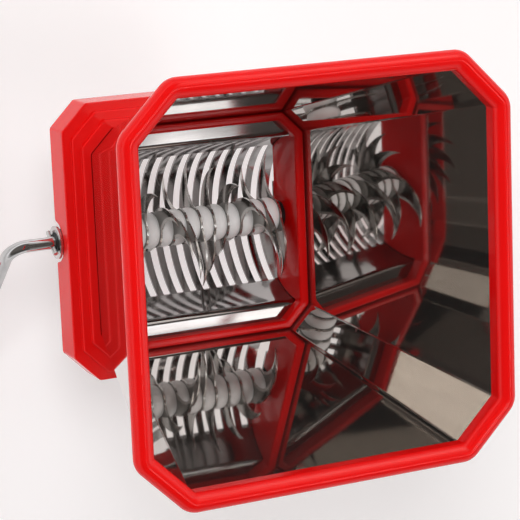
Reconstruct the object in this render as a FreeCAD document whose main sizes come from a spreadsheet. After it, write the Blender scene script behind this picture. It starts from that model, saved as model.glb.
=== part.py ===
import FreeCAD, Part
import Sketcher
import math
import os
import re

# Hand cranked vegetable slicer: a steel hopper in a red moulded rim stands on a stepped red
# base, and a row of sickle blades on a cranked shaft turns through the slots of a curved comb.
# Origin: the centre of the base's underside, which seats on a basin. +Z leaves through the
# hopper's mouth, and +X runs along the knife shaft, away from the crank.

# Driving sizes in millimetres and degrees: name, value, what it measures
SIZES = [
    ("base_width", 174.0, "base frame along the knife shaft"),
    ("base_depth", 172.0, "base frame across the knife shaft"),
    ("base_corner", 16.0, "cut of the base's corners along each side"),
    ("base_edge_radius", 3.0, "rounding of the base's upright edges"),
    ("base_wall", 2.8, "wall of the base moulding"),
    ("skirt_height", 21.0, "upright band round the base"),
    ("step_run", 5.3, "width of each tread above the skirt"),
    ("step_rise", 2.7, "height of each step above the skirt"),
    ("step_round", 1.1, "rounding of the treads' outer edges"),
    ("foot_corner", 14.4, "cut of the hopper sheet's corners at its foot"),
    ("throat_width", 128.0, "opening in the base along the shaft"),
    ("throat_depth", 128.0, "opening in the base across the shaft"),
    ("throat_corner", 10.5, "cut of the opening's corners"),
    ("throat_round", 1.8, "rounding of the opening's upper edge"),
    ("groove_depth", 4.0, "groove that holds the foot of the hopper sheet"),
    ("rib_thickness", 2.0, "stiffening webs under the base"),
    ("rib_reach", 12.5, "how far the webs stand in from the skirt"),
    ("rib_inset", 32.0, "outermost webs, in from the ends of each side"),
    ("rib_count", 4.0, "stiffening webs along each side"),
    ("end_wall_drop", 4.0, "how far the end walls hang below the seat"),
    ("saddle_length", 9.0, "bearing saddles along the shaft"),
    ("saddle_width", 40.0, "bearing saddles across the shaft"),
    ("notch_radius", 12.8, "half round notch that the crank passes through"),
    ("notch_round", 2.0, "rounding of the notch's lips"),
    ("sheet_thickness", 0.8, "hopper sheet"),
    ("sheet_fit", 0.15, "clearance beside the sheet in its grooves"),
    ("fold_radius", 2.4, "outside radius of the hopper's folds"),
    ("mouth_width", 220.6, "hopper sheet at its mouth, both ways"),
    ("mouth_corner", 24.6, "cut of the hopper sheet's corners at its mouth"),
    ("mouth_height", 185.5, "where the hopper sheet stops flaring and the rim begins"),
    ("mouth_band", 5.5, "upright band of sheet inside the rim"),
    ("rim_lip", 1.2, "rim lip inside the sheet"),
    ("rim_outset", 9.4, "rim beyond the sheet at its widest"),
    ("rim_foot_outset", 7.0, "rim beyond the sheet at its lower edge"),
    ("rim_height", 13.8, "rim from lower edge to crest"),
    ("rim_waist", 7.2, "widest place of the rim above its lower edge"),
    ("rim_crest", 5.2, "crest beyond the sheet"),
    ("rim_slope_radius", 16.6, "curve of the rim from its crest down to the lip"),
    ("crest_round", 1.6, "rounding of the rim's crest"),
    ("rim_bend", 9.0, "corner radius along the middle of the rim"),
    ("shaft_height", 3.1, "knife shaft above the seat"),
    ("shaft_flats", 12.0, "hexagon shaft across flats"),
    ("journal_diameter", 8.0, "round ends of the shaft, and the crank's rod"),
    ("running_fit", 0.05, "radial clearance of a turning fit"),
    ("hex_fit", 0.05, "clearance of a blade on each flat of the shaft"),
    ("blade_count", 14.0, "blades on the shaft"),
    ("blade_pitch", 9.15, "blade to blade along the shaft"),
    ("blade_thickness", 1.2, "blade sheet"),
    ("blade_reach", 39.0, "blade tip from the shaft's axis"),
    ("blade_hook", 25.0, "how far a tip leans ahead of its arm's root"),
    ("blade_root_back", 50.0, "root's rear edge behind the arm's middle"),
    ("blade_root_front", 40.0, "root's front edge ahead of the arm's middle"),
    ("blade_back_radius", 30.0, "curve of a blade's back"),
    ("blade_edge_radius", 20.0, "curve of a blade's cutting edge"),
    ("grind_depth", 0.4, "ground edge, taken off each face at the edge"),
    ("grind_width", 2.0, "ground edge, back from the edge"),
    ("blade_step", 30.0, "turn from each blade to the next"),
    ("blade_start", 113.0, "turn of the blade nearest the crank"),
    ("spacer_diameter", 22.8, "nylon spacer rings"),
    ("spacer_crown", 1.6, "how far the rings bulge in the middle"),
    ("hub_diameter", 22.4, "round hub of a blade"),
    ("comb_radius", 53.5, "inside radius of the comb"),
    ("comb_axis_height", 27.7, "comb's axis above the seat"),
    ("comb_thickness", 1.5, "comb sheet"),
    ("comb_length", 140.0, "comb along the shaft"),
    ("comb_bend", 2.5, "inside radius of the comb's shoulders"),
    ("comb_flange_span", 140.0, "comb over its two flanges"),
    ("comb_flange_corner", 12.0, "cut of the flanges' corners"),
    ("slot_width", 4.85, "slots of the comb"),
    ("slot_end_gap", 5.0, "slot beyond the blade tips"),
    ("comb_screw_inset", 3.5, "comb screws in from the flange's edge"),
    ("comb_screw_spacing", 45.0, "comb screws along the shaft"),
    ("screw_diameter", 2.9, "screw shanks"),
    ("screw_head_diameter", 5.6, "screw heads"),
    ("screw_head_height", 2.0, "screw heads"),
    ("screw_head_flat", 3.4, "flat middle of a screw's head"),
    ("screw_head_band", 0.8, "upright edge of a screw's head"),
    ("screw_length", 6.0, "screw shanks below the head"),
    ("screw_fit", 0.1, "clearance round a screw's shank"),
    ("hole_spare", 0.5, "depth of a blind hole past what goes into it"),
    ("bush_diameter", 16.0, "nylon bearing bushes"),
    ("bush_fit", 0.1, "clearance of a bush in its saddle"),
    ("bush_end_gap", 0.3, "end clearance of the blades between the bushes"),
    ("bush_overhang", 2.0, "bush beyond its saddle"),
    ("bush_flange_diameter", 19.0, "collar of a bush outside its saddle"),
    ("nose_diameter", 12.6, "bush nose that carries the thrust washer"),
    ("nose_length", 1.8, "bush nose beyond its shoulder"),
    ("strap_thickness", 1.5, "steel straps under the bushes"),
    ("strap_screw_spacing", 29.0, "strap screws across the shaft"),
    ("thrust_washer_diameter", 20.6, "washer behind the crank"),
    ("thrust_washer_thickness", 1.5, "washer behind the crank"),
    ("end_washer_diameter", 16.0, "washer under the shaft nut"),
    ("end_washer_thickness", 1.2, "washer under the shaft nut"),
    ("nut_flats", 13.0, "shaft nut across flats"),
    ("nut_height", 5.0, "shaft nut"),
    ("shaft_stub", 1.0, "shaft beyond its nut"),
    ("shaft_chamfer", 0.6, "chamfer of the shaft's free end"),
    ("key_flats", 5.6, "square end of the crank in the shaft"),
    ("key_length", 20.0, "square end of the crank in the shaft"),
    ("key_fit", 0.05, "clearance round the square end"),
    ("pin_diameter", 3.0, "cross pin through the crank"),
    ("pin_length", 17.0, "cross pin through the crank"),
    ("crank_angle", 43.0, "crank arm from -Y towards -Z"),
    ("crank_splay", 4.0, "lean of the arm away from the base"),
    ("crank_stand", 118.0, "arm's corner from the middle of the shaft"),
    ("crank_arm", 105.0, "arm between its two corners"),
    ("crank_bend", 12.0, "bend radius of the rod"),
    ("grip_length", 78.0, "turning sleeve"),
    ("grip_diameter", 25.0, "turning sleeve at its waist"),
    ("grip_end_diameter", 19.0, "turning sleeve at its ends"),
    ("grip_round", 2.5, "rounding of the sleeve's ends"),
    ("grip_clearance", 0.4, "gap at each end of the sleeve"),
    ("collar_diameter", 13.0, "stop rings beside the sleeve"),
    ("collar_width", 3.0, "stop rings beside the sleeve"),
    ("collar_fit", 0.05, "clearance of the stop rings on the rod"),
    ("gap", 0.3, "space between pieces that pass without touching"),
    ("overlap", 1.0, "how far a cut or a wall runs past the face that it meets"),
]
STEP_COUNT = 3
# Bodies whose round faces stay in the strips that their outlines give them, so that a face never
# winds round many slots
KEPT_IN_STRIPS = {"comb_trough"}
# How near two places are to count as one, and how far from each other to count as two
SAME = 0.01
APART = 0.1
SHAFT_AXIS = FreeCAD.Vector(1, 0, 0)
NAMES = {name for name, number, meaning in SIZES}

document = FreeCAD.newDocument("vegetable_slicer")
sheet = document.addObject("Spreadsheet::Sheet", "sizes")
for row, (name, number, meaning) in enumerate(SIZES, start=1):
    sheet.set(f"A{row}", meaning)
    sheet.set(f"B{row}", str(number))
    sheet.setAlias(f"B{row}", name)
document.recompute()


def term(text):
    """A formula of size names, written as the document's own expression."""
    return re.sub(r"[a-z_]+", lambda word: f"sizes.{word[0]}" if word[0] in NAMES else word[0], text)


def value(text):
    """The number that a formula of size names gives now."""
    return float(sheet.evalExpression(term(text)))


def bind(thing, place, text):
    """Ties one property of a document object to a formula of size names."""
    thing.setExpression(place, term(text))


def new_body(label, along="0", turn="0", height="0"):
    """A body with its own label, moved along the shaft and turned about it."""
    body = document.addObject("PartDesign::Body", label)
    body.Label = label
    body.AllowCompound = True
    body.Placement = FreeCAD.Placement(FreeCAD.Vector(), FreeCAD.Rotation(SHAFT_AXIS, 1))
    bind(body, "Placement.Base.x", along)
    bind(body, "Placement.Base.z", height)
    bind(body, "Placement.Rotation.Angle", turn)
    return body


def new_sketch(body, name, plane="XY_Plane", offset="0"):
    """A sketch on one of the body's own planes, moved along the plane's normal."""
    sketch = body.newObject("Sketcher::SketchObject", f"{body.Label}_{name}")
    feature = next(item for item in body.Origin.OriginFeatures if item.Role == plane)
    sketch.AttachmentSupport = [(feature, "")]
    sketch.MapMode = "FlatFace"
    bind(sketch, "AttachmentOffset.Base.z", offset)
    return sketch


def fix_value(sketch, constraint, text):
    """Adds one dimension to a sketch and ties it to its formula."""
    index = sketch.addConstraint(constraint)
    bind(sketch, f"Constraints[{index}]", text)


def fix_point(sketch, edge, end, corner):
    """Places one point of a sketch by its two coordinates."""
    fix_value(sketch, Sketcher.Constraint("DistanceX", edge, end, value(corner[0])), corner[0])
    fix_value(sketch, Sketcher.Constraint("DistanceY", edge, end, value(corner[1])), corner[1])


def outline(sketch, corners, arcs=None, closed=True):
    """Draws straight edges between corners, which are pairs of formulas.

    arcs gives a radius and a side for the edges that are arcs of less than half a turn, by the
    number of the corner where they start. Side 1 bulges to the left of the way along it.
    """
    arcs = arcs or {}
    points = [FreeCAD.Vector(value(x), value(y), 0) for x, y in corners]
    count = len(corners) if closed else len(corners) - 1
    ends = []
    for index in range(count):
        first = points[index]
        last = points[(index + 1) % len(points)]
        if index not in arcs:
            edge = sketch.addGeometry(Part.LineSegment(first, last), False)
            ends.append((edge, 1, 2))
            continue
        radius, side = arcs[index]
        chord = last - first
        left = FreeCAD.Vector(-chord.y, chord.x, 0).normalize()
        rise = math.sqrt(value(radius) ** 2 - (chord.Length / 2) ** 2)
        middle = first + chord * 0.5 - left * (side * rise)
        angles = [math.atan2(point.y - middle.y, point.x - middle.x) for point in (first, last)]
        if side > 0:
            angles.reverse()
        circle = Part.Circle(middle, FreeCAD.Vector(0, 0, 1), value(radius))
        edge = sketch.addGeometry(Part.ArcOfCircle(circle, angles[0], angles[1]), False)
        ends.append((edge, 2, 1) if side > 0 else (edge, 1, 2))
        fix_value(sketch, Sketcher.Constraint("Radius", edge, value(radius)), radius)
    for index, (edge, start, end) in enumerate(ends):
        fix_point(sketch, edge, start, corners[index])
        if closed or index + 1 < count:
            following = ends[(index + 1) % count]
            sketch.addConstraint(Sketcher.Constraint("Coincident", edge, end, following[0], following[1]))
        else:
            fix_point(sketch, edge, end, corners[index + 1])
    return sketch


def ring(sketch, centre, radius):
    """Draws one full circle."""
    middle = FreeCAD.Vector(value(centre[0]), value(centre[1]), 0)
    circle = Part.Circle(middle, FreeCAD.Vector(0, 0, 1), value(radius))
    edge = sketch.addGeometry(circle, False)
    fix_value(sketch, Sketcher.Constraint("Radius", edge, value(radius)), radius)
    fix_point(sketch, edge, 3, centre)
    return sketch


def octagon(sketch, width, depth, cut, radius, from_middle=False):
    """Draws a rectangle with its corners cut off and the eight bends rounded.

    A bend of 45 degrees starts radius times tan(22.5) before its corner. from_middle starts the
    line halfway up the +X side, where a section of a swept ring stands.
    """
    wide = f"({width}) / 2"
    deep = f"({depth}) / 2"
    back = f"({radius}) * tan(22.5)"
    slant = f"({radius}) * tan(22.5) * sqrt(0.5)"
    quarter = [
        (f"{wide}", f"{deep} - ({cut}) - {back}"),
        (f"{wide} - {slant}", f"{deep} - ({cut}) + {slant}"),
        (f"{wide} - ({cut}) + {slant}", f"{deep} - {slant}"),
        (f"{wide} - ({cut}) - {back}", f"{deep}"),
    ]
    corners = []
    for sign_x, sign_y in ((1, 1), (-1, 1), (-1, -1), (1, -1)):
        turned = quarter if sign_x == sign_y else quarter[::-1]
        corners += [(f"{sign_x} * ({x})", f"{sign_y} * ({y})") for x, y in turned]
    bends = {index: (radius, -1) for index in range(0, len(corners), 2)}
    if from_middle:
        corners.insert(0, (wide, "0"))
        bends = {index + 1: bend for index, bend in bends.items()}
    return outline(sketch, corners, bends)


def box_outline(sketch, low, high):
    """Draws an upright rectangle between two opposite corners."""
    corners = [low, (high[0], low[1]), high, (low[0], high[1])]
    return outline(sketch, corners)


def pad(body, sketch, length, both_ways=False, backwards=False):
    """Raises a sketch into solid."""
    feature = body.newObject("PartDesign::Pad", f"{sketch.Name}_pad")
    feature.Profile = sketch
    feature.SideType = "Symmetric" if both_ways else "One side"
    feature.Reversed = backwards
    bind(feature, "Length", length)
    return finish(body, feature, sketch)


def pocket(body, sketch, length, backwards=False, both_ways=False):
    """Cuts a sketch into the solid, against the sketch's normal unless backwards."""
    before = body.Shape.Volume
    feature = body.newObject("PartDesign::Pocket", f"{sketch.Name}_pocket")
    feature.Profile = sketch
    feature.SideType = "Symmetric" if both_ways else "One side"
    feature.Reversed = backwards
    bind(feature, "Length", length)
    finish(body, feature, sketch)
    if body.Shape.Volume > before - 0.01:
        raise RuntimeError(f"{feature.Name} cuts nothing")
    return feature


def revolve(body, sketch, axis="H_Axis"):
    """Turns a sketch about one of its own axes."""
    feature = body.newObject("PartDesign::Revolution", f"{sketch.Name}_turned")
    feature.Profile = sketch
    feature.ReferenceAxis = (sketch, [axis])
    feature.Angle = 360
    return finish(body, feature, sketch)


def sweep(body, section, path):
    """Carries a section along a path."""
    feature = body.newObject("PartDesign::AdditivePipe", f"{section.Name}_swept")
    feature.Profile = section
    feature.Spine = path
    path.Visibility = False
    return finish(body, feature, section)


def finish(body, feature, sketch=None):
    """Takes a feature into its body and stops if it failed."""
    if sketch is not None:
        sketch.Visibility = False
    body.Tip = feature
    if hasattr(feature, "Refine"):
        feature.Refine = body.Label not in KEPT_IN_STRIPS
    document.recompute()
    if "Invalid" in feature.State or "Error" in feature.State or feature.Shape.isNull():
        raise RuntimeError(f"{feature.Name} failed: {feature.State}")
    return feature


def round_edges(body, base, size, chosen, kind="Fillet"):
    """Rounds or chamfers the edges of the newest feature that a test picks."""
    names = [f"Edge{number}" for number, edge in enumerate(base.Shape.Edges, start=1) if chosen(edge)]
    feature = body.newObject(f"PartDesign::{kind}", f"{base.Name}_{kind.lower()}")
    feature.Base = (base, names)
    bind(feature, "Size" if kind == "Chamfer" else "Radius", size)
    return finish(body, feature)


def repeat(body, features, axis, span, count):
    """Repeats features along one of the body's axes, the whole row being span long."""
    feature = body.newObject("PartDesign::LinearPattern", f"{features[-1].Name}_row")
    feature.Originals = features
    line = next(item for item in body.Origin.OriginFeatures if item.Role == axis)
    feature.Direction = (line, [""])
    feature.Mode = "Extent"
    bind(feature, "Length", span)
    bind(feature, "Occurrences", count)
    return finish(body, feature)


def level(edge, height):
    """Whether an edge lies flat at one height."""
    return all(abs(edge.valueAt(at).z - height) < SAME for at in middle_and_ends(edge))


def middle_and_ends(edge):
    """Three parameters along an edge."""
    return (edge.FirstParameter, (edge.FirstParameter + edge.LastParameter) / 2, edge.LastParameter)


# Places that several pieces share
STEP_TOP = "skirt_height + {} * step_rise"
ROOF = "skirt_height + step_rise - base_wall"
COLLAR_TOP = STEP_TOP.format(STEP_COUNT)
SHEET_SEAT = STEP_TOP.format(STEP_COUNT - 1)
FOOT_WIDTH = f"base_width - 2 * {STEP_COUNT} * step_run"
FOOT_DEPTH = f"base_depth - 2 * {STEP_COUNT} * step_run"
STACK_HALF = "((blade_count - 1) * blade_pitch + blade_thickness) / 2"
BUSH_INNER = f"{STACK_HALF} + bush_end_gap"
BUSH_OUTER = "throat_width / 2 + saddle_length + bush_overhang"
SADDLE_FOOT = "shaft_height - bush_diameter / 2 - bush_fit"
SADDLE_MIDDLE = "(throat_width + saddle_length) / 2"
SHOULDER = "base_width / 2 + gap"
NOSE_END = f"{SHOULDER} + nose_length"
SLOT_HALF = "blade_reach + slot_end_gap"
SCREW_HOLE = "screw_diameter / 2 + screw_fit"
# The cut left off a corner grows by this share when its outline moves out by one
CORNER_SHARE = 2 - math.sqrt(2)


def comb_screw_place(side, place):
    """Where one comb screw stands: side of the shaft, and -1, 0 or 1 along it."""
    return (f"{place} * comb_screw_spacing", f"{side} * (comb_flange_span / 2 - comb_screw_inset)")


def strap_screw_place(side, half):
    """Where one strap screw stands: end of the shaft, and side of it."""
    return (f"{side} * {SADDLE_MIDDLE}", f"{half} * strap_screw_spacing / 2")


def base_frame():
    """One red moulding: a skirt, two steps, the collar round the throat, and the end walls with
    the saddles that the shaft's bushes drop into. It is hollow underneath, with webs."""
    body = new_body("base_frame")
    for step in range(STEP_COUNT):
        part_way = f"{step} / {STEP_COUNT}"
        sketch = octagon(
            new_sketch(body, f"step_{step}"),
            f"base_width - 2 * {step} * step_run",
            f"base_depth - 2 * {step} * step_run",
            f"base_corner + (foot_corner - base_corner) * {part_way}",
            "base_edge_radius",
        )
        body_top = pad(body, sketch, STEP_TOP.format(step))
    groove_inner = ("2 * (sheet_thickness + sheet_fit)", f"{CORNER_SHARE} * (sheet_thickness + sheet_fit)")
    collar = new_sketch(body, "collar")
    octagon(collar, f"{FOOT_WIDTH} - {groove_inner[0]}", f"{FOOT_DEPTH} - {groove_inner[0]}",
            f"foot_corner - {groove_inner[1]}", "fold_radius")
    body_top = pad(body, collar, COLLAR_TOP)

    def tread_rim(edge):
        """Whether an edge is the outer edge of one of the treads."""
        for step in range(STEP_COUNT):
            if not level(edge, value(STEP_TOP.format(step))):
                continue
            spot = edge.valueAt(middle_and_ends(edge)[1])
            wide = value(f"base_width / 2 - {step} * step_run")
            deep = value(f"base_depth / 2 - {step} * step_run")
            cut = value(f"base_corner + (foot_corner - base_corner) * {step} / {STEP_COUNT}")
            reach = max(abs(spot.x) / wide, abs(spot.y) / deep, (abs(spot.x) + abs(spot.y)) / (wide + deep - cut))
            return reach > 0.98
        return False

    round_edges(body, body_top, "step_round", tread_rim)
    groove = new_sketch(body, "groove", offset=SHEET_SEAT)
    octagon(groove, f"{FOOT_WIDTH} + 2 * sheet_fit", f"{FOOT_DEPTH} + 2 * sheet_fit",
            f"foot_corner + {CORNER_SHARE} * sheet_fit", "fold_radius + sheet_fit")
    octagon(groove, f"{FOOT_WIDTH} - {groove_inner[0]}", f"{FOOT_DEPTH} - {groove_inner[0]}",
            f"foot_corner - {groove_inner[1]}", "fold_radius")
    pocket(body, groove, "groove_depth")
    for step in range(STEP_COUNT - 1):
        hollow = new_sketch(body, f"hollow_{step}")
        inward = f"2 * {step} * step_run + 2 * base_wall"
        octagon(hollow, f"base_width - ({inward})", f"base_depth - ({inward})",
                f"base_corner - {CORNER_SHARE} * base_wall", "base_edge_radius")
        pocket(body, hollow, f"{STEP_TOP.format(step)} - base_wall", backwards=True)
    throat = new_sketch(body, "throat", offset=f"{COLLAR_TOP} + overlap")
    octagon(throat, "throat_width", "throat_depth", "throat_corner", "base_edge_radius")
    opened = pocket(body, throat, f"{COLLAR_TOP} + 2 * overlap")

    def throat_lip(edge):
        """Whether an edge is the upper edge of the opening."""
        spot = edge.valueAt(middle_and_ends(edge)[1])
        within = abs(spot.x) < value("throat_width / 2") + APART and abs(spot.y) < value("throat_depth / 2") + APART
        return within and level(edge, value(COLLAR_TOP))

    round_edges(body, opened, "throat_round", throat_lip)
    for side in (1, -1):
        end_wall(body, side)
    webs(body)
    pilot_holes(body)
    return crank_notch(body)


def end_wall(body, side):
    """Closes one end of the comb above the slots, and carries one bush in a saddle that is open
    below. side is 1 away from the crank and -1 at the crank."""
    name = "far" if side > 0 else "near"
    plane_at = f"{side} * throat_width / 2"
    inside = "(comb_radius - gap)"
    foot_half = f"sqrt({inside} ^ 2 - (comb_axis_height + end_wall_drop) ^ 2)"
    top = f"({ROOF} + overlap)"
    top_half = f"sqrt({inside} ^ 2 - (comb_axis_height - {top}) ^ 2)"
    cradle = "(bush_diameter / 2 + bush_fit)"
    wall = new_sketch(body, f"{name}_wall", "YZ_Plane", plane_at)
    corners = [
        (foot_half, "-end_wall_drop"), (top_half, top), (f"-{top_half}", top),
        (f"-{foot_half}", "-end_wall_drop"), (f"-{cradle}", "-end_wall_drop"),
        (f"-{cradle}", "shaft_height"), ("0", f"shaft_height + {cradle}"),
        (cradle, "shaft_height"), (cradle, "-end_wall_drop"),
    ]
    outline(wall, corners, {0: (inside, -1), 2: (inside, -1), 5: (cradle, 1), 6: (cradle, 1)})
    pad(body, wall, "base_wall", backwards=side < 0)
    saddle = new_sketch(body, f"{name}_saddle", "YZ_Plane", plane_at)
    for half in (1, -1):
        box_outline(saddle, (f"{half} * {cradle}", SADDLE_FOOT), (f"{half} * saddle_width / 2", top))
    pad(body, saddle, "saddle_length", backwards=side < 0)


def webs(body):
    """Webs that stiffen the skirt against the roof, in a row along each side."""
    for plane, axis, start, across, along in (
        ("YZ_Plane", "X_Axis", "rib_inset - base_width / 2", "base_depth", "base_width"),
        ("XZ_Plane", "Y_Axis", "base_depth / 2 - rib_inset", "base_width", "base_depth"),
    ):
        sketch = new_sketch(body, f"web_{plane[:2]}", plane, start)
        low = "skirt_height - base_wall / 2"
        high = f"{ROOF} + base_wall / 2"
        for side in (1, -1):
            skirt_at = f"{side} * ({across} / 2 - base_wall / 2)"
            step_at = f"{side} * ({across} / 2 - step_run - base_wall / 2)"
            tip_at = f"{side} * ({across} / 2 - base_wall - rib_reach)"
            outline(sketch, [
                (skirt_at, "base_wall"), (skirt_at, low), (step_at, low), (step_at, high), (tip_at, high),
            ])
        web = pad(body, sketch, "rib_thickness", both_ways=True)
        repeat(body, [web], axis, f"{along} - 2 * rib_inset", "rib_count")


def pilot_holes(body):
    """Blind holes for the strap screws in the saddles and for the comb screws in the collar."""
    strap_holes = new_sketch(body, "strap_pilots", offset=SADDLE_FOOT)
    for side in (1, -1):
        for half in (1, -1):
            ring(strap_holes, strap_screw_place(side, half), SCREW_HOLE)
    pocket(body, strap_holes, "screw_length + hole_spare", backwards=True)
    comb_holes = new_sketch(body, "comb_pilots", offset=ROOF)
    for side in (1, -1):
        for place in (-1, 0, 1):
            ring(comb_holes, comb_screw_place(side, place), SCREW_HOLE)
    pocket(body, comb_holes, "screw_length - comb_thickness + hole_spare", backwards=True)


def crank_notch(body):
    """Cuts the half round notch in the skirt on the crank's side and rounds its lips."""
    sketch = new_sketch(body, "notch", "YZ_Plane", "-base_width / 2 + base_wall + overlap")
    cut = pocket(body, ring(sketch, ("0", "0"), "notch_radius"), "base_wall + 2 * overlap")

    def lip(edge):
        """Whether an edge is one of the notch's two lips on the underside."""
        spot = edge.valueAt(middle_and_ends(edge)[1])
        beside = abs(abs(spot.y) - value("notch_radius")) < APART
        return beside and level(edge, 0) and spot.x < value("-base_width / 2 + base_wall")

    round_edges(body, cut, "notch_round", lip)
    return body


def hopper_shell():
    """Polished sheet folded to eight flat sides, flared from the base's groove up to the rim,
    with a short upright band at either end."""
    body = new_body("hopper_shell")
    stations = [
        (f"{SHEET_SEAT} - groove_depth + gap", FOOT_WIDTH, FOOT_DEPTH, "foot_corner"),
        (SHEET_SEAT, FOOT_WIDTH, FOOT_DEPTH, "foot_corner"),
        ("mouth_height", "mouth_width", "mouth_width", "mouth_corner"),
        ("mouth_height + mouth_band", "mouth_width", "mouth_width", "mouth_corner"),
    ]
    for kind, inset, name in (("AdditiveLoft", "0", "outside"), ("SubtractiveLoft", "sheet_thickness", "inside")):
        sections = []
        for number, (height, width, depth, cut) in enumerate(stations):
            sketch = new_sketch(body, f"{name}_{number}", offset=height)
            octagon(sketch, f"{width} - 2 * {inset}", f"{depth} - 2 * {inset}",
                    f"{cut} - {CORNER_SHARE} * {inset}", f"fold_radius - {inset}")
            sections.append(sketch)
        loft = body.newObject(f"PartDesign::{kind}", f"hopper_shell_{name}")
        loft.Profile = sections[0]
        loft.Sections = sections[1:]
        loft.Ruled = True
        for sketch in sections:
            sketch.Visibility = False
        finish(body, loft)
    return body


def hopper_rim():
    """Red moulded bead round the mouth: a rounded outer face, a crest, a slope down to a thin
    lip inside the sheet, and a groove below that holds the sheet's edge."""
    body = new_body("hopper_rim")
    middle = "rim_outset / 2"
    path = new_sketch(body, "path", offset="mouth_height")
    octagon(path, f"mouth_width + 2 * {middle}", f"mouth_width + 2 * {middle}",
            f"mouth_corner + {CORNER_SHARE} * {middle}", "rim_bend", from_middle=True)
    half = "mouth_width / 2"
    lip_inner = f"{half} - sheet_thickness - sheet_fit - rim_lip"
    groove_inner = f"{half} - sheet_thickness - sheet_fit"
    groove_outer = f"{half} + sheet_fit"
    groove_top = "mouth_height + mouth_band + gap"
    crest = "mouth_height + rim_height"
    section = new_sketch(body, "section", "XZ_Plane")
    corners = [
        (groove_outer, "mouth_height"),
        (f"{half} + rim_foot_outset", "mouth_height"),
        (f"{half} + rim_outset", "mouth_height + rim_waist"),
        (f"{half} + rim_crest", crest),
        (lip_inner, "mouth_height + rim_waist"),
        (lip_inner, "mouth_height"),
        (groove_inner, "mouth_height"),
        (groove_inner, groove_top),
        (groove_outer, groove_top),
    ]
    flare = "(rim_outset - rim_foot_outset)"
    roll = "(rim_outset - rim_crest)"
    rise = "(rim_height - rim_waist)"
    outline(section, corners, {
        1: (f"({flare} ^ 2 + rim_waist ^ 2) / (2 * {flare})", 1),
        2: (f"({roll} ^ 2 + {rise} ^ 2) / (2 * {roll})", 1),
        3: ("rim_slope_radius", 1),
    })
    bead = sweep(body, section, path)
    round_edges(body, bead, "crest_round", lambda edge: level(edge, value(crest)))
    return body


def comb_trough():
    """Polished sheet rolled into a trough under the throat, slotted for the blades, with a
    rounded shoulder and a flange along both sides that the screws hold under the collar."""
    body = new_body("comb_trough")
    outer = "(comb_radius + comb_thickness)"
    shoulder = "(comb_bend + comb_thickness)"
    bend_height = f"({ROOF} - {shoulder})"
    drop = f"(comb_axis_height - {bend_height})"
    bend_at = f"sqrt((comb_radius + {shoulder}) ^ 2 - {drop} ^ 2)"
    flange_end = "comb_flange_span / 2"
    under = f"({ROOF} - comb_thickness)"

    def tangent(radius):
        """Where an arc about the comb's axis meets the shoulder's arc of the same tangent."""
        share = f"({radius} / (comb_radius + {shoulder}))"
        return (f"{bend_at} * {share}", f"comb_axis_height - {drop} * {share}")

    def beside_slot(radius):
        """Where an arc about the comb's axis passes the end of the slots."""
        return (SLOT_HALF, f"comb_axis_height - sqrt({radius} ^ 2 - ({SLOT_HALF}) ^ 2)")

    right_inside = [beside_slot("comb_radius"), tangent("comb_radius"), (bend_at, ROOF), (flange_end, ROOF)]
    right_outside = [(flange_end, under), (bend_at, under), tangent(outer), beside_slot(outer)]
    left_outside = [(f"-({y})", z) for y, z in reversed(right_outside)]
    left_inside = [(f"-({y})", z) for y, z in reversed(right_inside)]
    section = new_sketch(body, "section", "YZ_Plane")
    corners = [
        ("0", "comb_axis_height - comb_radius"), *right_inside, *right_outside,
        ("0", f"comb_axis_height - {outer}"), *left_outside, *left_inside,
    ]
    arcs = {
        0: ("comb_radius", -1), 1: ("comb_radius", -1), 2: (shoulder, 1),
        6: ("comb_bend", -1), 7: (outer, 1), 8: (outer, 1), 9: (outer, 1), 10: (outer, 1),
        11: ("comb_bend", -1), 15: (shoulder, 1), 16: ("comb_radius", -1), 17: ("comb_radius", -1),
    }
    trough = pad(body, outline(section, corners, arcs), "comb_length", both_ways=True)

    def flange_corner(edge):
        """Whether an edge stands upright at a corner of a flange."""
        spot = edge.valueAt(middle_and_ends(edge)[1])
        at_end = abs(abs(spot.y) - value(flange_end)) < SAME
        return at_end and value(under) + APART < spot.z < value(ROOF) - APART

    round_edges(body, trough, "comb_flange_corner", flange_corner, kind="Chamfer")
    row_start = "-(blade_count - 1) * blade_pitch / 2"
    slot = new_sketch(body, "slot")
    box_outline(slot, (f"{row_start} - slot_width / 2", f"-({SLOT_HALF})"),
                (f"{row_start} + slot_width / 2", SLOT_HALF))
    first = pocket(body, slot, "comb_radius")
    row = repeat(body, [first], "X_Axis", "(blade_count - 1) * blade_pitch", "blade_count")
    hole = new_sketch(body, "screw_holes", offset=f"{ROOF} + overlap")
    for side in (1, -1):
        for place in (-1, 0, 1):
            ring(hole, comb_screw_place(side, place), SCREW_HOLE)
    pocket(body, hole, "comb_thickness + 2 * overlap")
    return body


def screw(body, name, seat, place):
    """One pan head screw that points up, with the underside of its head at seat."""
    along, across = place
    sketch = new_sketch(body, name, "XZ_Plane", f"-({across})")
    head = "screw_head_diameter / 2"
    shank = "screw_diameter / 2"
    corners = [
        (along, f"{seat} - screw_head_height"),
        (f"{along} + screw_head_flat / 2", f"{seat} - screw_head_height"),
        (f"{along} + {head}", f"{seat} - screw_head_band"),
        (f"{along} + {head}", seat),
        (f"{along} + {shank}", seat),
        (f"{along} + {shank}", f"{seat} + screw_length"),
        (along, f"{seat} + screw_length"),
    ]
    outline(sketch, corners, {1: (head, -1)})
    feature = body.newObject("PartDesign::Revolution", f"{sketch.Name}_turned")
    feature.Profile = sketch
    feature.ReferenceAxis = (sketch, ["Edge7"])
    feature.Angle = 360
    return finish(body, feature, sketch)


def comb_screws():
    """Six screws that hold the comb's flanges under the collar."""
    body = new_body("comb_screws")
    for side in (1, -1):
        for place in (-1, 0, 1):
            screw(body, f"screw_{side + 1}_{place + 1}", f"({ROOF} - comb_thickness)",
                  comb_screw_place(side, place))
    return body


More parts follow.
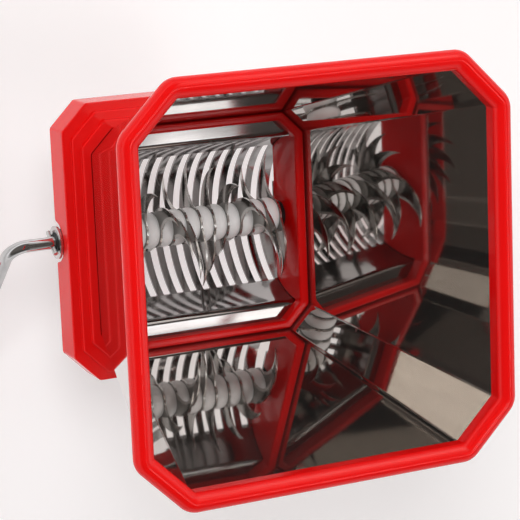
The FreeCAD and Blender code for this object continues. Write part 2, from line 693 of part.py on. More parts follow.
def strap_screws():
    """Four screws that hold the two straps under the saddles."""
    body = new_body("strap_screws")
    for side in (1, -1):
        for half in (1, -1):
            screw(body, f"screw_{side + 1}_{half + 1}", f"({SADDLE_FOOT} - strap_thickness)",
                  strap_screw_place(side, half))
    return body


def bearing_strap(side):
    """Flat steel strap that closes one saddle below its bush."""
    body = new_body("bearing_strap_far" if side > 0 else "bearing_strap_near")
    plate = new_sketch(body, "plate", offset=SADDLE_FOOT)
    near = f"{side} * (throat_width / 2)"
    far = f"{side} * (throat_width / 2 + saddle_length)"
    box_outline(plate, (near, "-saddle_width / 2"), (far, "saddle_width / 2"))
    pad(body, plate, "strap_thickness", backwards=True)
    holes = new_sketch(body, "holes", offset=f"{SADDLE_FOOT} + overlap")
    for half in (1, -1):
        ring(holes, strap_screw_place(side, half), SCREW_HOLE)
    pocket(body, holes, "strap_thickness + 2 * overlap")
    return body


def turned(label, corners, arcs=None, along="0"):
    """A body turned about the knife shaft from a half section of along and radius pairs."""
    body = new_body(label, along=along, height="shaft_height")
    sketch = new_sketch(body, "section")
    outline(sketch, corners, arcs)
    revolve(body, sketch)
    return body


def bushes():
    """Black nylon bushes. Each lies in its saddle with a collar outside it, and the one at the
    crank reaches on through the skirt's notch to a nose that carries the thrust washer."""
    bore = "journal_diameter / 2 + running_fit"
    shell = "bush_diameter / 2"
    collar_near = "throat_width / 2 + saddle_length + gap"
    flange = "bush_flange_diameter / 2"
    turned("shaft_bush_far", [
        (BUSH_INNER, bore), (BUSH_OUTER, bore), (BUSH_OUTER, flange), (collar_near, flange),
        (collar_near, shell), (BUSH_INNER, shell),
    ])
    turned("shaft_bush_near", [
        (f"-({BUSH_INNER})", bore), (f"-({BUSH_INNER})", shell), (f"-({collar_near})", shell),
        (f"-({collar_near})", flange), (f"-({BUSH_OUTER})", flange), (f"-({BUSH_OUTER})", shell),
        (f"-({SHOULDER})", shell), (f"-({SHOULDER})", "nose_diameter / 2"),
        (f"-({NOSE_END})", "nose_diameter / 2"), (f"-({NOSE_END})", bore),
    ])


def drive_shaft():
    """Hexagon bar that turns the blades, with a round journal and a square socket."""
    body = new_body("drive_shaft", turn="crank_angle", height="shaft_height")
    bar = new_sketch(body, "bar", "YZ_Plane")
    outline(bar, hexagon("shaft_flats", "crank_angle"))
    pad(body, bar, f"2 * ({STACK_HALF})", both_ways=True)
    journal = new_sketch(body, "journal", "YZ_Plane", STACK_HALF)
    ring(journal, ("0", "0"), "journal_diameter / 2")
    journal_end = f"{BUSH_OUTER} + gap + end_washer_thickness + nut_height + shaft_stub"
    tip = pad(body, journal, f"{journal_end} - ({STACK_HALF})")

    def tip_edge(edge):
        """Whether an edge is the rim of the journal's free end."""
        return all(abs(edge.valueAt(at).x - value(journal_end)) < SAME for at in middle_and_ends(edge))

    round_edges(body, tip, "shaft_chamfer", tip_edge, kind="Chamfer")
    socket = new_sketch(body, "socket", "YZ_Plane", f"-({STACK_HALF})")
    half = "(key_flats / 2 + key_fit)"
    box_outline(socket, (f"-{half}", f"-{half}"), (half, half))
    pocket(body, socket, "key_length + hole_spare", backwards=True)
    return body


def hexagon(flats, turn):
    """Corners of a hexagon by its size across flats, turned by an angle."""
    radius = f"(({flats}) / sqrt(3))"
    return [(f"{radius} * cos({60 * corner} - ({turn}))", f"{radius} * sin({60 * corner} - ({turn}))")
            for corner in range(6)]


def blade(number):
    """Thin steel blade with two pointed sickle arms on a round hub. Each is keyed on the hexagon
    a step further round than its neighbour, so that they cut one after another."""
    position = f"({number} - (blade_count - 1) / 2) * blade_pitch"
    turn = f"blade_start + {number} * blade_step"
    body = new_body(f"blade_{number + 1:02d}", along=position, turn=turn, height="shaft_height")
    hub = "(hub_diameter / 2)"
    corners = []
    arcs = {}
    for arm in (0, 180):
        start = len(corners)
        corners += [
            (f"{hub} * cos({arm} - blade_root_back)", f"{hub} * sin({arm} - blade_root_back)"),
            (f"blade_reach * cos({arm} + blade_hook)", f"blade_reach * sin({arm} + blade_hook)"),
            (f"{hub} * cos({arm} + blade_root_front)", f"{hub} * sin({arm} + blade_root_front)"),
        ]
        arcs[start] = ("blade_back_radius", -1)
        arcs[start + 1] = ("blade_edge_radius", 1)
        arcs[start + 2] = (hub, -1)
    sketch = new_sketch(body, "outline", "YZ_Plane")
    outline(sketch, corners, arcs)
    outline(sketch, hexagon("shaft_flats + 2 * hex_fit", turn))
    blank = pad(body, sketch, "blade_thickness", both_ways=True)

    def cutting_edge(edge):
        """Whether an edge runs along the hollow front of an arm, on either face."""
        curve = edge.Curve
        return isinstance(curve, Part.Circle) and abs(curve.Radius - value("blade_edge_radius")) < SAME

    ground = round_edges(body, blank, "grind_depth", cutting_edge, kind="Chamfer")
    ground.ChamferType = "Two distances"
    ground.FlipDirection = False
    bind(ground, "Size2", "grind_width")
    return finish(body, ground)


def spacer(number):
    """White nylon ring between two blades, crowned like a bead."""
    middle = f"({number} + 0.5 - (blade_count - 1) / 2) * blade_pitch"
    half = "((blade_pitch - blade_thickness) / 2)"
    bore = "(shaft_flats / sqrt(3) + hex_fit)"
    edge = "spacer_diameter / 2 - spacer_crown"
    crown = f"({half} ^ 2 + spacer_crown ^ 2) / (2 * spacer_crown)"
    return turned(f"spacer_{number + 1:02d}", [
        (f"-{half}", bore), (f"-{half}", edge), (half, edge), (half, bore),
    ], {1: (crown, 1)}, along=middle)


def shaft_end():
    """Washer and nut that hold the shaft at the end away from the crank."""
    start = f"{BUSH_OUTER} + gap"
    bore = "journal_diameter / 2 + running_fit"
    turned("shaft_washer", [
        (start, bore), (f"{start} + end_washer_thickness", bore),
        (f"{start} + end_washer_thickness", "end_washer_diameter / 2"), (start, "end_washer_diameter / 2"),
    ])
    body = new_body("shaft_nut", height="shaft_height")
    sketch = new_sketch(body, "hexagon", "YZ_Plane", f"{start} + end_washer_thickness")
    outline(sketch, hexagon("nut_flats", "0"))
    ring(sketch, ("0", "0"), bore)
    pad(body, sketch, "nut_height")


def crank():
    """The crank's rod, its thrust washer and cross pin, and the two rings beside the grip."""
    washer_near = f"-({SHOULDER})"
    washer_far = f"-({SHOULDER} + thrust_washer_thickness)"
    turned("crank_washer", [
        (washer_near, "nose_diameter / 2 + 2 * running_fit"),
        (washer_near, "thrust_washer_diameter / 2"), (washer_far, "thrust_washer_diameter / 2"),
        (washer_far, "nose_diameter / 2 + 2 * running_fit"),
    ])
    pin_at = f"-({NOSE_END} + gap + pin_diameter / 2)"
    pin = new_body("crank_pin", turn="crank_angle", height="shaft_height")
    sketch = ring(new_sketch(pin, "section"), (pin_at, "0"), "pin_diameter / 2")
    pad(pin, sketch, "pin_length", both_ways=True)

    rod = new_body("crank_rod", turn="crank_angle", height="shaft_height")
    path = new_sketch(rod, "path")
    set_back = "crank_bend * tan((90 - crank_splay) / 2)"
    arm_x = "-crank_stand"
    foot = ("-crank_stand - crank_arm * sin(crank_splay)", "-crank_arm * cos(crank_splay)")
    grip_end = f"{foot[0]} - ({set_back}) - 3 * collar_width - grip_length - 2 * grip_clearance"
    lean = (f"({set_back}) * sin(crank_splay)", f"({set_back}) * cos(crank_splay)")
    start = f"-({STACK_HALF})"
    outline(path, [
        (start, "0"), (f"{arm_x} + {set_back}", "0"),
        (f"{arm_x} - {lean[0]}", f"-{lean[1]}"), (f"{foot[0]} + {lean[0]}", f"{foot[1]} + {lean[1]}"),
        (f"{foot[0]} - {set_back}", foot[1]), (grip_end, foot[1]),
    ], {1: ("crank_bend", -1), 3: ("crank_bend", 1)}, closed=False)
    section = ring(new_sketch(rod, "section", "YZ_Plane", start), ("0", "0"), "journal_diameter / 2")
    sweep(rod, section, path)
    key = new_sketch(rod, "key", "YZ_Plane", start)
    box_outline(key, ("-key_flats / 2", "-key_flats / 2"), ("key_flats / 2", "key_flats / 2"))
    pad(rod, key, "key_length")
    cross = ring(new_sketch(rod, "cross_hole"), (pin_at, "0"), "pin_diameter / 2 + running_fit")
    pocket(rod, cross, "journal_diameter + 2 * overlap", both_ways=True)

    sleeve_start = f"{foot[0]} - {set_back} - collar_width"
    for name, place in (
        ("grip_collar_inner", sleeve_start),
        ("grip_collar_outer", f"{sleeve_start} - grip_length - 2 * grip_clearance - collar_width"),
    ):
        body = new_body(name, turn="crank_angle", height="shaft_height")
        disc = new_sketch(body, "ring", "YZ_Plane", place)
        ring(disc, (foot[1], "0"), "collar_diameter / 2")
        ring(disc, (foot[1], "0"), "journal_diameter / 2 + collar_fit")
        pad(body, disc, "collar_width")
    grip(f"{sleeve_start} - grip_clearance", foot[1])


def grip(near_end, across):
    """Barrel shaped sleeve that turns freely on the crank's outer leg."""
    body = new_body("crank_grip", turn="crank_angle", height="shaft_height")
    sketch = new_sketch(body, "section")
    far_end = f"{near_end} - grip_length"
    middle = f"{near_end} - grip_length / 2"
    bore = f"{across} + journal_diameter / 2 + running_fit"
    end_half = "grip_end_diameter / 2"
    bulge = "(grip_diameter - grip_end_diameter) / 2"
    half_chord = "(grip_length / 2 - grip_round)"
    barrel = f"(({half_chord} ^ 2 + ({bulge}) ^ 2) / (2 * ({bulge})))"
    corners = [
        (near_end, bore), (near_end, f"{across} + {end_half} - grip_round"),
        (f"{near_end} - grip_round", f"{across} + {end_half}"),
        (middle, f"{across} + grip_diameter / 2"),
        (f"{far_end} + grip_round", f"{across} + {end_half}"),
        (far_end, f"{across} + {end_half} - grip_round"), (far_end, bore),
    ]
    arcs = {1: ("grip_round", -1), 2: (barrel, -1), 3: (barrel, -1), 4: ("grip_round", -1)}
    outline(sketch, corners, arcs)
    middle_line = sketch.addGeometry(Part.LineSegment(
        FreeCAD.Vector(value(near_end), value(across), 0), FreeCAD.Vector(value(far_end), value(across), 0)), True)
    fix_point(sketch, middle_line, 1, (near_end, across))
    fix_point(sketch, middle_line, 2, (far_end, across))
    feature = body.newObject("PartDesign::Revolution", "crank_grip_turned")
    feature.Profile = sketch
    feature.ReferenceAxis = (sketch, ["Axis0"])
    feature.Angle = 360
    return finish(body, feature, sketch)


base_frame()
hopper_shell()
hopper_rim()
comb_trough()
comb_screws()
strap_screws()
for shaft_side in (1, -1):
    bearing_strap(shaft_side)
bushes()
drive_shaft()
for index in range(int(value("blade_count"))):
    blade(index)
for index in range(int(value("blade_count")) - 1):
    spacer(index)
shaft_end()
crank()

document.recompute()
for item in document.Objects:
    if "Invalid" in item.State or "Error" in item.State:
        raise RuntimeError(f"{item.Label} is {item.State}")
os.makedirs("parts", exist_ok=True)
for body in document.findObjects("PartDesign::Body"):
    shape = body.Shape
    if shape.isNull() or not shape.isValid() or not shape.Solids:
        raise RuntimeError(f"{body.Label} has no valid solid")
    shape.exportStep(f"parts/{body.Label}.step")
    box = shape.BoundBox
    print(f"{body.Label:20s} {len(shape.Solids)} {shape.Volume:12.1f}",
          f"x {box.XMin:.1f} {box.XMax:.1f} y {box.YMin:.1f} {box.YMax:.1f} z {box.ZMin:.1f} {box.ZMax:.1f}")
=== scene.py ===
import math

import bpy
import numpy as np
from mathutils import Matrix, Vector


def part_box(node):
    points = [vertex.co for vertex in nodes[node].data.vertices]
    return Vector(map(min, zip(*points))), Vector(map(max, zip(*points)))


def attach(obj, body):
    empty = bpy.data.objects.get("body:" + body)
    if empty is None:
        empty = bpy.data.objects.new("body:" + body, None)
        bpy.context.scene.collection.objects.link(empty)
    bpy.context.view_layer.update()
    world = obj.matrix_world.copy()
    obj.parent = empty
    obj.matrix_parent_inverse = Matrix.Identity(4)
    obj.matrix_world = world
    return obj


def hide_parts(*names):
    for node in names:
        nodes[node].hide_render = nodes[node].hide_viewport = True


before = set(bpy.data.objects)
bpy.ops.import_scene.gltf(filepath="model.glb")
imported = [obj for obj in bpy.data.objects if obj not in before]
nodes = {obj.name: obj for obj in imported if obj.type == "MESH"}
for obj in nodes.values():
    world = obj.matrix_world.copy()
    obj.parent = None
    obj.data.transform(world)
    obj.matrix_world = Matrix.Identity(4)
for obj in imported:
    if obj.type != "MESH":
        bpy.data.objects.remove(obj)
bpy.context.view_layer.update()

# Camera. The long lens looks down into the hopper from the crank's side, with the panels towards
# +X and -Y open to view. Its place and turn come from the rim, the throat and the base.
viewpoint = bpy.data.cameras.new("viewpoint")
viewpoint.sensor_width = 36.0
viewpoint.lens = 152.03
viewpoint.clip_start = 0.05
camera = bpy.data.objects.new("viewpoint", viewpoint)
camera.location = (-0.53586, 0.26285, 1.24587)
camera.rotation_euler = [math.radians(angle) for angle in (-10.8996, -25.6499, -2.5039)]
bpy.context.scene.collection.objects.link(camera)
bpy.context.scene.camera = camera
bpy.context.scene.view_settings.view_transform = "Standard"


# Floor. A plain pale paper sweep just below the circle that the crank's grip runs on: flat under
# the slicer, and curved up into a far wall all round. A faint light of its own keeps it pale.
flat_radius = 6.0
wall_radius = 4.0
floor_level = -0.118


def floor_height(radius):
    """Height at a distance from the middle: none on the flat part, then a quarter circle."""
    beyond = np.clip(radius - flat_radius, 0.0, wall_radius)
    return wall_radius - np.sqrt(wall_radius ** 2 - beyond ** 2)


def grid_mesh(name, points, wrap_u=False, wrap_v=False):
    """A mesh from a grid of points with shape (rows, columns, 3).

    Each face joins four neighbours of the grid. wrap_u joins the last row to the first, and
    wrap_v the last column to the first.
    """
    rows, columns = points.shape[:2]
    number = np.arange(rows * columns).reshape(rows, columns)
    row = np.arange(rows if wrap_u else rows - 1)[:, None]
    column = np.arange(columns if wrap_v else columns - 1)[None, :]
    next_row = (row + 1) % rows
    next_column = (column + 1) % columns
    faces = np.stack([
        number[row, column], number[next_row, column],
        number[next_row, next_column], number[row, next_column],
    ], axis=-1).reshape(-1, 4)
    mesh = bpy.data.meshes.new(name)
    mesh.from_pydata(points.reshape(-1, 3).tolist(), [], faces.tolist())
    mesh.polygons.foreach_set("use_smooth", np.ones(len(faces), bool))
    mesh.update()
    made = bpy.data.objects.new(name, mesh)
    bpy.context.scene.collection.objects.link(made)
    return made


around = np.linspace(0, 2 * np.pi, 65)[:-1]
outward = np.concatenate([
    [0.001], np.linspace(0.5, flat_radius, 6),
    flat_radius + np.linspace(0.2, wall_radius - 0.01, 16),
])
turn, reach = np.meshgrid(around, outward)
floor = grid_mesh("floor", np.stack([
    reach * np.cos(turn), reach * np.sin(turn), floor_level + floor_height(reach),
], axis=-1), wrap_v=True)


def surface(name):
    """An empty node material: its tree, its principled shader, and a maker of linked nodes."""
    material = bpy.data.materials.new(name)
    material.use_nodes = True
    tree = material.node_tree
    shader = tree.nodes["Principled BSDF"]

    def node(kind, settings=None, **links):
        """Adds one node, sets its values, and links its inputs to outputs of other nodes.

        An underscore in an input's name stands for a space. The names i0, i2 and so on stand
        for the inputs with these numbers, where several inputs share a name.
        """
        made = tree.nodes.new(kind)
        for key, setting in (settings or {}).items():
            if hasattr(made, key):
                setattr(made, key, setting)
            else:
                made.inputs[key.replace("_", " ")].default_value = setting
        for key, source in links.items():
            socket = int(key[1:]) if key[1:].isdigit() else key.replace("_", " ")
            tree.links.new(source, made.inputs[socket])
        return made

    return material, tree, shader, node


def ramp(node, factor, dark, light, low=0.3, high=0.7):
    """A colour that turns from dark, where the factor is low, to light, where it is high."""
    made = node("ShaderNodeValToRGB", Fac=factor)
    for element, position, colour in zip(made.color_ramp.elements, (low, high), (dark, light)):
        element.position = position
        element.color = (*colour, 1.0)
    return made.outputs["Color"]


def noise(node, place, scale, detail=2.0, stretch=(1.0, 1.0, 1.0)):
    """A noise of some scale per metre, drawn out along the axes where stretch is small."""
    moved = node("ShaderNodeMapping", {"Scale": stretch}, Vector=place)
    return node("ShaderNodeTexNoise", {"Scale": scale, "Detail": detail},
                Vector=moved.outputs["Vector"]).outputs["Fac"]


def between(node, factor, low, high):
    """A factor from 0 to 1 spread over a range."""
    return node("ShaderNodeMapRange", {"To_Min": low, "To_Max": high}, Value=factor).outputs["Result"]


paper, paper_tree, paper_shader, node = surface("floor_paper")
place = node("ShaderNodeTexCoord").outputs["Object"]
shades = ramp(node, noise(node, place, 3.0), (0.85, 0.835, 0.84), (0.88, 0.87, 0.875))
paper_tree.links.new(shades, paper_shader.inputs["Base Color"])
fibres = between(node, noise(node, place, 40.0), 0.55, 0.65)
paper_tree.links.new(fibres, paper_shader.inputs["Roughness"])
paper_shader.inputs["Specular IOR Level"].default_value = 0.2
paper_shader.inputs["Emission Color"].default_value = (1.0, 0.985, 0.985, 1.0)
paper_shader.inputs["Emission Strength"].default_value = 0.27
floor.data.materials.append(paper)


# Light. Soft panels stand round the slicer, each turned to face it, and the room above them is
# dark, so the polished sheet shows dark with a few pale patches. The two strongest panels light
# the scene without showing in the steel.
aim_height = 0.05


def soft_panel(name, direction, distance, size, watts, tint=(1.0, 1.0, 1.0), mirrored=True):
    """A lit rectangle that faces the slicer's middle from some distance.

    direction is its azimuth and elevation in degrees, and size its width and height. A panel
    that isn't mirrored lights the scene, but leaves no image of itself on anything.
    """
    azimuth, elevation = (math.radians(angle) for angle in direction)
    lamp = bpy.data.lights.new(name, "AREA")
    lamp.shape = "RECTANGLE"
    lamp.size, lamp.size_y = size
    lamp.energy = watts
    lamp.color = tint
    made = bpy.data.objects.new(name, lamp)
    made.location = (distance * math.cos(elevation) * math.cos(azimuth),
                     distance * math.cos(elevation) * math.sin(azimuth),
                     distance * math.sin(elevation) + aim_height)
    made.rotation_euler = (math.pi / 2 - elevation, 0.0, azimuth + math.pi / 2)
    made.visible_glossy = mirrored
    bpy.context.scene.collection.objects.link(made)


warm = (1.0, 0.95, 0.90)
soft_panel("key", (-26.8, 61.9), 2.50, (1.20, 1.20), 8.5, mirrored=False)
soft_panel("beside_camera", (131.4, 57.8), 2.13, (0.60, 0.60), 17, mirrored=False)
soft_panel("facing_camera", (-28.0, 63.0), 1.99, (0.34, 0.30), 1.15)
soft_panel("overhead", (0.0, 79.9), 2.06, (0.30, 0.26), 1.1)
soft_panel("beyond_corner", (56.0, 38.5), 2.20, (0.56, 0.66), 3.0, warm)
soft_panel("beyond_corner_high", (56.0, 55.0), 2.20, (0.56, 0.58), 1.05, warm)
soft_panel("beyond_corner_dim", (38.0, 46.0), 2.20, (0.50, 1.25), 1.0, warm)


# Room. It is as pale as the floor up to 21 degrees above the horizon, and dark from 37 degrees
# up. The side towards -Y has no lit wall, so the room is dimmer there.
room = bpy.data.worlds.new("room")
room.use_nodes = True
bpy.context.scene.world = room
room_nodes = room.node_tree.nodes
room_links = room.node_tree.links
background = room_nodes["Background"]
way = room_nodes.new("ShaderNodeTexCoord")
split = room_nodes.new("ShaderNodeSeparateXYZ")
shade = room_nodes.new("ShaderNodeValToRGB")
dimmer = room_nodes.new("ShaderNodeMapRange")
pale, dark = shade.color_ramp.elements
pale.position = 0.36
pale.color = (1.0, 0.985, 0.98, 1.0)
dark.position = 0.60
dark.color = (0.105, 0.092, 0.086, 1.0)
for key, setting in (("From Min", -0.95), ("From Max", -0.15), ("To Min", 0.45), ("To Max", 1.60)):
    dimmer.inputs[key].default_value = setting
room_links.new(way.outputs["Generated"], split.inputs["Vector"])
room_links.new(split.outputs["Z"], shade.inputs["Fac"])
room_links.new(split.outputs["Y"], dimmer.inputs["Value"])
room_links.new(shade.outputs["Color"], background.inputs["Color"])
room_links.new(dimmer.outputs["Result"], background.inputs["Strength"])


# Red mouldings: the stepped base, the rim and the crank's grip. They are injection moulded in
# a glossy red plastic, with faint flow marks, a fine skin texture and a few rubbed places.
red, tree, shader, node = surface("moulded_red")
place = node("ShaderNodeTexCoord").outputs["Object"]
flow = noise(node, place, 9.0, 3.0, (1.0, 1.0, 2.5))
tint = ramp(node, flow, (0.80, 0.0025, 0.0025), (0.88, 0.004, 0.004), 0.25, 0.75)
tree.links.new(tint, shader.inputs["Base Color"])
rubbed = noise(node, place, 160.0, 4.0)
tree.links.new(between(node, rubbed, 0.14, 0.26), shader.inputs["Roughness"])
soft_edge = node("ShaderNodeBevel", {"Radius": 0.0010, "samples": 6})
waves = node("ShaderNodeBump", {"Strength": 0.10, "Distance": 0.0006},
             Height=noise(node, place, 35.0), Normal=soft_edge.outputs["Normal"])
grain = node("ShaderNodeBump", {"Strength": 0.06, "Distance": 0.00005},
             Height=noise(node, place, 900.0), Normal=waves.outputs["Normal"])
tree.links.new(grain.outputs["Normal"], shader.inputs["Normal"])
shader.inputs["IOR"].default_value = 1.52
shader.inputs["Specular IOR Level"].default_value = 0.26
shader.inputs["Coat Weight"].default_value = 0.05
shader.inputs["Coat Roughness"].default_value = 0.06


def dress(names, material):
    """Gives CAD nodes their material."""
    for name in names:
        nodes[name].data.materials.clear()
        nodes[name].data.materials.append(material)


dress(["base_frame", "hopper_rim", "crank_grip"], red)


# Rim: the hopper's mouth, a bead of the same moulded plastic that is pushed over the sheet's
# edge. It is rounder on top than the plain CAD bead, which it stands in for.
sheet_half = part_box("hopper_shell")[1][0]
rim_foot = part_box("hopper_rim")[0][2]
rim_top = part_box("hopper_rim")[1][2]
rim_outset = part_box("hopper_rim")[1][0] - sheet_half
corner_cut = 0.0246
bend_radius = 0.0043


def ring_path(half, cut, bend, along_side=12, along_bend=12):
    """Points and outward directions round an octagon with rounded corners.

    Side k faces the angle 45 k degrees and lies at half, or at (2 half - cut) / sqrt 2 for the
    cut corners. Bend k turns about the corner of sides k and k + 1 moved in by the bend radius.
    """
    side = np.arange(8)
    facing = np.radians(45.0 * side)
    depth = np.where(side % 2 == 0, half, (2 * half - cut) / math.sqrt(2)) - bend
    following = np.roll(depth, -1)
    slide = (following - depth * math.cos(math.pi / 4)) / math.sin(math.pi / 4)
    centre = depth[:, None] * np.stack([np.cos(facing), np.sin(facing)], 1) \
        + slide[:, None] * np.stack([-np.sin(facing), np.cos(facing)], 1)
    share = np.linspace(0, 1, along_bend + 1)
    bend_angle = facing[:, None] + share * math.pi / 4
    bend_centre = np.repeat(centre[:, None, :], along_bend + 1, axis=1)
    share = np.linspace(0, 1, along_side + 1)[1:-1, None]
    side_angle = np.repeat((facing + math.pi / 4)[:, None], len(share), axis=1)
    side_centre = centre[:, None] * (1 - share) + np.roll(centre, -1, 0)[:, None] * share
    angle = np.concatenate([bend_angle, side_angle], axis=1).ravel()
    middle = np.concatenate([bend_centre, side_centre], axis=1).reshape(-1, 2)
    return middle, np.stack([np.cos(angle), np.sin(angle)], 1)


def bead_profile(steps=24):
    """Outward and upward places round the bead's section, from its foot over the crest.

    The outward places count from the sheet's outline, and the upward ones from the foot. A flare
    that follows a quarter of a sine leads from the foot to the waist. An arc that is upright at
    the waist leads up to the crest, and a quarter superellipse leads down to the lip inside the
    sheet. A groove below takes the sheet's edge.
    """
    foot, crest, lip = 0.0070, 0.0042, -0.00215
    waist_height, lip_height, height = 0.0060, 0.0070, rim_top - rim_foot
    exponent = 1.6
    groove_outside, groove_inside, groove_depth = 0.00015, -0.00095, 0.0058
    share = np.linspace(0, 1, steps)
    flare = share[:-1:3]
    flare_over = foot + (rim_outset - foot) * np.sin(flare * math.pi / 2)
    rise, run = height - waist_height, rim_outset - crest
    radius = (rise ** 2 + run ** 2) / (2 * run)
    turn = share * math.asin(rise / radius)
    outer_over = rim_outset - radius + radius * np.cos(turn)
    outer_up = waist_height + radius * np.sin(turn)
    turn = share[1:] * math.pi / 2
    inner_over = crest + (lip - crest) * np.sin(turn) ** (2 / exponent)
    inner_up = lip_height + (height - lip_height) * np.abs(np.cos(turn)) ** (2 / exponent)
    groove_over = [lip, groove_inside, groove_inside, groove_outside, groove_outside]
    groove_up = [0.0, 0.0, groove_depth, groove_depth, 0.0]
    return (np.concatenate([flare_over, outer_over, inner_over, groove_over]),
            np.concatenate([flare * waist_height, outer_up, inner_up, groove_up]))


middle, outward_way = ring_path(sheet_half, corner_cut, bend_radius)
over, up = bead_profile()
plan = middle[:, None, :] + (bend_radius + over)[None, :, None] * outward_way[:, None, :]
level = np.broadcast_to(rim_foot + up, plan.shape[:2])[:, :, None]
rim = grid_mesh("rim_bead", np.concatenate([plan, level], axis=2), wrap_u=True, wrap_v=True)
rim.data.materials.append(red)
rim.data.set_sharp_from_angle(angle=math.radians(50))
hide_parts("hopper_rim")
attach(rim, "frame")


# Polished sheet: the hopper's eight panels, folded from one bright rolled stainless sheet and
# held in grooves of the base and the rim. It is mirror finished, with a slight waviness from
# folding and hairline scratches.
sheet, tree, shader, node = surface("polished_sheet")
place = node("ShaderNodeTexCoord").outputs["Object"]
streaks = noise(node, place, 160.0, 4.0, (1.0, 1.0, 0.04))
tree.links.new(ramp(node, streaks, (0.61, 0.587, 0.562), (0.65, 0.628, 0.603)), shader.inputs["Base Color"])
hairlines = noise(node, place, 420.0, 3.0, (1.0, 1.0, 0.04))
tree.links.new(between(node, hairlines, 0.02, 0.05), shader.inputs["Roughness"])
buckle = node("ShaderNodeBump", {"Strength": 0.10, "Distance": 0.0006},
              Height=noise(node, place, 12.0, 1.0))
scratch = node("ShaderNodeBump", {"Strength": 0.02, "Distance": 0.00002},
               Height=hairlines, Normal=buckle.outputs["Normal"])
tree.links.new(scratch.outputs["Normal"], shader.inputs["Normal"])
shader.inputs["Metallic"].default_value = 0.98
shader.inputs["Specular IOR Level"].default_value = 0.3
dress(["hopper_shell"], sheet)


# Comb: a slotted stainless strip, rolled to a trough with two flat flanges that are screwed to
# the base. Rolling leaves its polish softer than the hopper's, with fine lines along the shaft.
comb_steel, tree, shader, node = surface("rolled_comb")
place = node("ShaderNodeTexCoord").outputs["Object"]
cloud = noise(node, place, 30.0, 3.0)
# Painted shade: the base colour is set darker than bare steel, standing in for the dim, shaded surroundings
# the trough mirrors.
tree.links.new(ramp(node, cloud, (0.30, 0.285, 0.28), (0.36, 0.345, 0.34)), shader.inputs["Base Color"])
rolled = noise(node, place, 600.0, 3.0, (0.05, 1.0, 1.0))
tree.links.new(between(node, rolled, 0.07, 0.14), shader.inputs["Roughness"])
roll_marks = node("ShaderNodeBump", {"Strength": 0.05, "Distance": 0.00003}, Height=rolled)
tree.links.new(roll_marks.outputs["Normal"], shader.inputs["Normal"])
shader.inputs["Metallic"].default_value = 1.0
dress(["comb_trough"], comb_steel)


# Blades: thin stainless sickles on the hexagonal shaft, blanked from strip that leaves a dark mill
# finish on their flats. Their edges are ground bright, which the material finds by how far a face
# leans from the shaft's way.
blade_steel, tree, shader, node = surface("ground_blade")
place = node("ShaderNodeTexCoord").outputs["Object"]
facing = node("ShaderNodeSeparateXYZ", Vector=node("ShaderNodeNewGeometry").outputs["True Normal"])
lean = node("ShaderNodeMath", {"operation": "ABSOLUTE"}, i0=facing.outputs["X"]).outputs["Value"]
ground = node("ShaderNodeMapRange", {"From_Min": 0.995, "From_Max": 0.97}, Value=lean).outputs["Result"]
mill = ramp(node, noise(node, place, 60.0, 3.0), (0.23, 0.22, 0.205), (0.31, 0.30, 0.285))
fresh = ramp(node, noise(node, place, 90.0, 3.0), (0.70, 0.69, 0.66), (0.80, 0.79, 0.77))
finish = node("ShaderNodeMix", {"data_type": "RGBA"}, i0=ground, i6=mill, i7=fresh)
tree.links.new(finish.outputs[2], shader.inputs["Base Color"])
grinding = noise(node, place, 700.0, 3.0, (1.0, 0.08, 1.0))
polish = node("ShaderNodeMix", {"data_type": "FLOAT"}, i0=ground,
              i2=between(node, grinding, 0.06, 0.13), i3=between(node, grinding, 0.22, 0.34))
tree.links.new(polish.outputs[0], shader.inputs["Roughness"])
lines = node("ShaderNodeBump", {"Strength": 0.08, "Distance": 0.00004}, Height=grinding)
tree.links.new(lines.outputs["Normal"], shader.inputs["Normal"])
shader.inputs["Metallic"].default_value = 1.0
dress([name for name in nodes if name.startswith("blade_")], blade_steel)
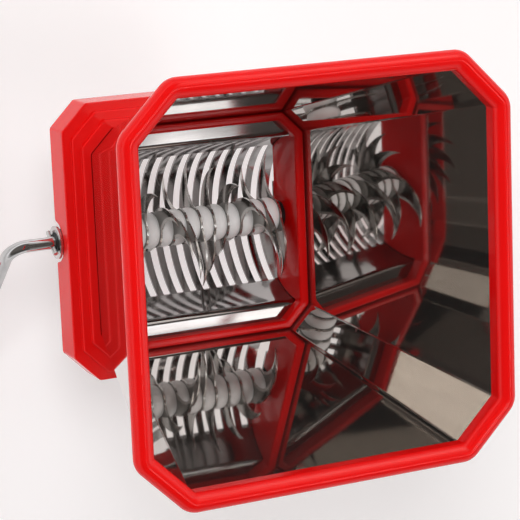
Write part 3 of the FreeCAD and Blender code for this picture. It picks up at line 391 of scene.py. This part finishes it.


# Spacers: white nylon rings between the blades on the shaft, turned and tumbled smooth. They are
# a little translucent, but their faint glow of their own is painted light that brightens them in the
# throat's shade.
nylon, tree, shader, node = surface("white_nylon")
place = node("ShaderNodeTexCoord").outputs["Object"]
cloud = noise(node, place, 120.0, 3.0)
tree.links.new(ramp(node, cloud, (0.91, 0.895, 0.885), (0.965, 0.955, 0.95)), shader.inputs["Base Color"])
tree.links.new(between(node, noise(node, place, 500.0, 3.0), 0.30, 0.45), shader.inputs["Roughness"])
turned = node("ShaderNodeBump", {"Strength": 0.10, "Distance": 0.00005},
              Height=noise(node, place, 2500.0, 2.0, (1.0, 0.1, 0.1)))
tree.links.new(turned.outputs["Normal"], shader.inputs["Normal"])
# Painted glow: a faint light of their own that lifts the rings' brightness.
shader.inputs["Emission Color"].default_value = (1.0, 0.96, 0.94, 1.0)
shader.inputs["Emission Strength"].default_value = 0.09
dress([name for name in nodes if name.startswith("spacer_")], nylon)


# Bushes: the shaft's two plain bearings, turned from black nylon and dull. Each sits in a saddle
# of the base and is held there by a steel strap.
black, tree, shader, node = surface("black_nylon")
place = node("ShaderNodeTexCoord").outputs["Object"]
cloud = noise(node, place, 200.0, 3.0)
tint = ramp(node, cloud, (0.012, 0.012, 0.013), (0.024, 0.023, 0.023))
tree.links.new(tint, shader.inputs["Base Color"])
tree.links.new(between(node, noise(node, place, 600.0, 3.0), 0.35, 0.5), shader.inputs["Roughness"])
dress(["shaft_bush_far", "shaft_bush_near"], black)


# Plated steel: the shaft, its washers and nut, the screws and straps under the base, the crank's
# pin and the grip's stop rings. They are turned, pressed or bent, and zinc plated to a soft shine.
plated, tree, shader, node = surface("plated_steel")
place = node("ShaderNodeTexCoord").outputs["Object"]
cloud = noise(node, place, 150.0, 4.0)
tree.links.new(ramp(node, cloud, (0.58, 0.58, 0.575), (0.70, 0.70, 0.69)), shader.inputs["Base Color"])
tree.links.new(between(node, noise(node, place, 800.0, 3.0), 0.16, 0.32), shader.inputs["Roughness"])
shader.inputs["Metallic"].default_value = 1.0
dress(["drive_shaft", "comb_screws", "strap_screws", "bearing_strap_far", "bearing_strap_near",
       "crank_washer", "shaft_washer", "shaft_nut", "crank_pin", "grip_collar_inner",
       "grip_collar_outer"], plated)


# Crank rod: a round bar, bent cold twice and chromed bright. Its squared end sits in the shaft,
# and a pin crosses it beside the washer.
chrome, tree, shader, node = surface("chromed_rod")
place = node("ShaderNodeTexCoord").outputs["Object"]
cloud = noise(node, place, 90.0, 3.0)
tree.links.new(ramp(node, cloud, (0.52, 0.52, 0.525), (0.60, 0.60, 0.60)), shader.inputs["Base Color"])
tree.links.new(between(node, noise(node, place, 900.0, 3.0), 0.03, 0.09), shader.inputs["Roughness"])
shader.inputs["Metallic"].default_value = 1.0
dress(["crank_rod"], chrome)
